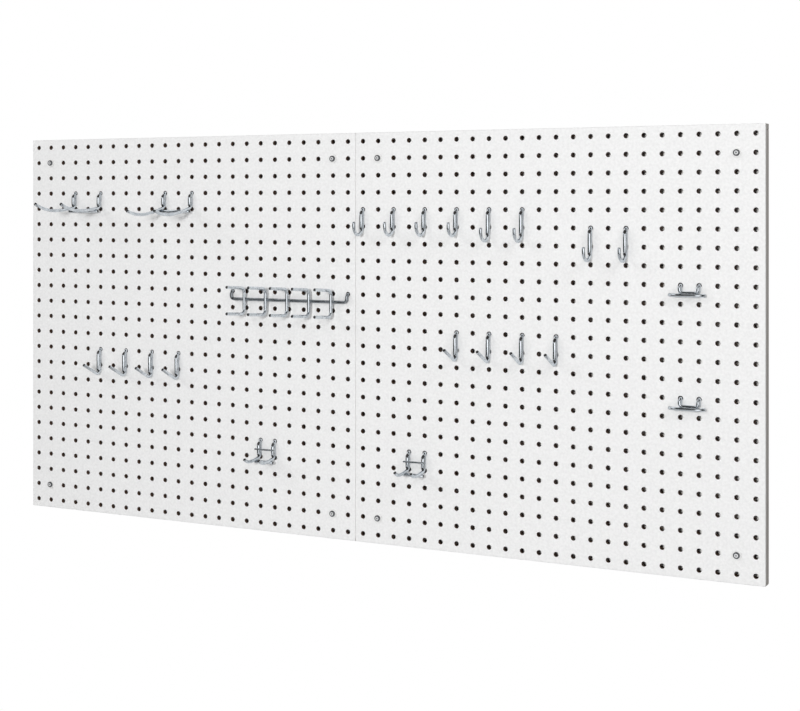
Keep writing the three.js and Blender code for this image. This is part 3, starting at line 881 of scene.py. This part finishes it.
def make_bushing(index, flange, front, back):
    """The white bushing: a flange on the face and a sleeve into the hole."""
    under = -FACE_Y + 0.2 * MM
    profile = [(BORE, front - 0.2 * MM), (BORE + 0.2 * MM, front)]
    profile += arc((flange - PLASTIC_EASE, front - PLASTIC_EASE), PLASTIC_EASE, 90, 0)
    profile += [(flange, under), (SLEEVE, under), (SLEEVE, back), (BORE, back)]
    profile += [profile[0]]
    return finish_mesh(f"bushing_{index}_ring", turned(profile), [WHITE_PLASTIC], 40)


def make_spacer(index, outer, front, back):
    """The grey tube between the sheet and the wall."""
    ease = PLASTIC_EASE
    profile = [(BORE, front), (outer - ease, front), (outer, front - ease)]
    profile += [(outer, back + ease), (outer - ease, back), (BORE, back), (BORE, front)]
    return finish_mesh(f"spacer_{index}_tube", turned(profile), [GREY_PLASTIC], 40)


def round_piece(node):
    """Radius of a turned piece, and how far its front and back are from the wall plane."""
    low, high = (Vector(corner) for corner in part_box(node))
    return (high.x - low.x) / 2, -low.y, -high.y


def make_fixing(index):
    """The screw, its white flanged bushing and the spacer behind the sheet."""
    low, high = (Vector(corner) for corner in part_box(f"screw_{index}"))
    x, z = (low.x + high.x) / 2, (low.z + high.z) / 2
    screw = make_screw(index, -low.y, -high.y)
    bushing = make_bushing(index, *round_piece(f"flanged_bushing_{index}"))
    spacer = make_spacer(index, *round_piece(f"spacer_{index}"))
    for obj, node, slot in (
        (screw, "screw", "screw"),
        (bushing, "flanged_bushing", "bushing"),
        (spacer, "spacer", "spacer"),
    ):
        obj.data.transform(Matrix.Translation((x, 0, z)))
        place_piece(obj, f"{node}_{index}", "board")


# ---- stage: floor, shade behind the holes, lights, world and camera ----
def flat_plane(name, corners, material):
    mesh = bpy.data.meshes.new(name)
    mesh.from_pydata(corners, [], [(0, 1, 2, 3)])
    mesh.materials.append(material)
    obj = bpy.data.objects.new(name, mesh)
    bpy.context.collection.objects.link(obj)
    return obj


def make_floor():
    material, _, _ = new_material("pale_floor", (0.8, 0.8, 0.8), 0.7)
    x, z = 1.5, -1.15
    flat_plane("floor", [(-x, -2, z), (x, -2, z), (x, 0.8, z), (-x, 0.8, z)], material)


def make_shade():
    """Stands for the pale wall behind the holes. It is clear when seen from behind."""
    material, tree, shader = new_material("wall_shade", (0.9, 0.885, 0.86), 0.9)
    geometry = tree.nodes.new("ShaderNodeNewGeometry")
    clear = tree.nodes.new("ShaderNodeBsdfTransparent")
    choose = tree.nodes.new("ShaderNodeMixShader")
    tree.links.new(geometry.outputs["Backfacing"], choose.inputs["Fac"])
    tree.links.new(shader.outputs["BSDF"], choose.inputs[1])
    tree.links.new(clear.outputs["BSDF"], choose.inputs[2])
    output = tree.nodes["Material Output"]
    tree.links.new(choose.outputs["Shader"], output.inputs["Surface"])
    inset = 7.4 * MM  # a little less than the battens' width
    x0, x1 = BOARD_LOW.x + inset, BOARD_HIGH.x - inset
    z0, z1 = BOARD_LOW.z + inset, BOARD_HIGH.z - inset
    y = -0.3 * MM
    flat_plane("wall_shade", [(x0, y, z0), (x1, y, z0), (x1, y, z1), (x0, y, z1)], material)


def area_light(name, place, target, size, power, color=(1, 1, 1)):
    data = bpy.data.lights.new(name, "AREA")
    data.shape = "RECTANGLE"
    data.size, data.size_y = size
    data.energy = power
    data.color = color
    light = bpy.data.objects.new(name, data)
    light.location = place
    aim = Vector(target) - Vector(place)
    light.rotation_euler = aim.to_track_quat("-Z", "Y").to_euler()
    light.visible_glossy = False
    bpy.context.collection.objects.link(light)


def make_lights():
    area_light("left_box", (-1.9, -2.3, 1.3), (-0.1, 0, 0), (0.9, 1.4), 17)
    area_light("front_box", (0.5, -3.0, 0.45), (0.1, 0, 0.1), (0.35, 0.35), 46)
    area_light("right_box", (1.8, -1.0, 1.2), (0.5, 0, 0.3), (0.5, 0.9), 9)


def glow(tree, direction, aim, inner, outer, strength):
    """Brightness over the sky round one direction: full inside inner degrees, none past outer."""
    along = tree.nodes.new("ShaderNodeVectorMath")
    along.operation = "DOT_PRODUCT"
    along.inputs[1].default_value = Vector(aim).normalized()
    fade = tree.nodes.new("ShaderNodeMapRange")
    fade.interpolation_type = "SMOOTHSTEP"
    fade.inputs["From Min"].default_value = math.cos(math.radians(outer))
    fade.inputs["From Max"].default_value = math.cos(math.radians(inner))
    fade.inputs["To Max"].default_value = strength
    tree.links.new(direction, along.inputs[0])
    tree.links.new(along.outputs["Value"], fade.inputs["Value"])
    return fade.outputs["Result"]


def make_world():
    """White behind the object, an even fill, and two soft glows for metal to reflect."""
    world = bpy.data.worlds.new("studio")
    bpy.context.scene.world = world
    world.use_nodes = True
    tree = world.node_tree
    direction = tree.nodes.new("ShaderNodeTexCoord").outputs["Generated"]
    total = tree.nodes.new("ShaderNodeMath")
    total.operation = "ADD"
    for aim, inner, outer, strength, socket in (
        ((0.41, -0.91, 0.05), 14, 42, 1.5, total.inputs[0]),
        ((-0.75, -0.35, 0.55), 12, 30, 1.2, total.inputs[1]),
    ):
        tree.links.new(glow(tree, direction, aim, inner, outer, strength), socket)
    lifted = tree.nodes.new("ShaderNodeMath")
    lifted.operation = "ADD"
    lifted.inputs[1].default_value = 0.05
    tree.links.new(total.outputs["Value"], lifted.inputs[0])
    reflected = tree.nodes["Background"]
    reflected.inputs["Color"].default_value = (1, 1, 1, 1)
    tree.links.new(lifted.outputs["Value"], reflected.inputs["Strength"])
    fill = tree.nodes.new("ShaderNodeBackground")
    fill.inputs["Color"].default_value = (0.15, 0.15, 0.152, 1)
    backdrop = tree.nodes.new("ShaderNodeBackground")
    backdrop.inputs["Color"].default_value = (1, 1, 1, 1)
    rays = tree.nodes.new("ShaderNodeLightPath")
    by_diffuse = tree.nodes.new("ShaderNodeMixShader")
    by_camera = tree.nodes.new("ShaderNodeMixShader")
    tree.links.new(rays.outputs["Is Diffuse Ray"], by_diffuse.inputs["Fac"])
    tree.links.new(reflected.outputs["Background"], by_diffuse.inputs[1])
    tree.links.new(fill.outputs["Background"], by_diffuse.inputs[2])
    tree.links.new(rays.outputs["Is Camera Ray"], by_camera.inputs["Fac"])
    tree.links.new(by_diffuse.outputs["Shader"], by_camera.inputs[1])
    tree.links.new(backdrop.outputs["Background"], by_camera.inputs[2])
    output = tree.nodes["World Output"]
    tree.links.new(by_camera.outputs["Shader"], output.inputs["Surface"])


def make_camera():
    data = bpy.data.cameras.new("camera")
    data.lens = CAMERA_LENS
    data.sensor_width = 36
    data.shift_x = CAMERA_SHIFT_X
    data.shift_y = CAMERA_SHIFT_Y
    data.clip_end = 50
    camera = bpy.data.objects.new("camera", data)
    camera.location = CAMERA_PLACE
    camera.rotation_euler = (math.radians(90), 0, math.radians(CAMERA_YAW))
    bpy.context.collection.objects.link(camera)
    bpy.context.scene.camera = camera


make_camera()
for panel in ("left_panel", "right_panel"):
    make_panel(panel)
for side in ("top", "bottom", "left", "right", "seam"):
    make_batten(f"{side}_batten")
for fixing in range(1, 9):
    make_fixing(fixing)
make_hooks()
make_rack()
make_floor()
make_shade()
make_lights()
make_world()
bpy.context.scene.view_settings.view_transform = "Standard"
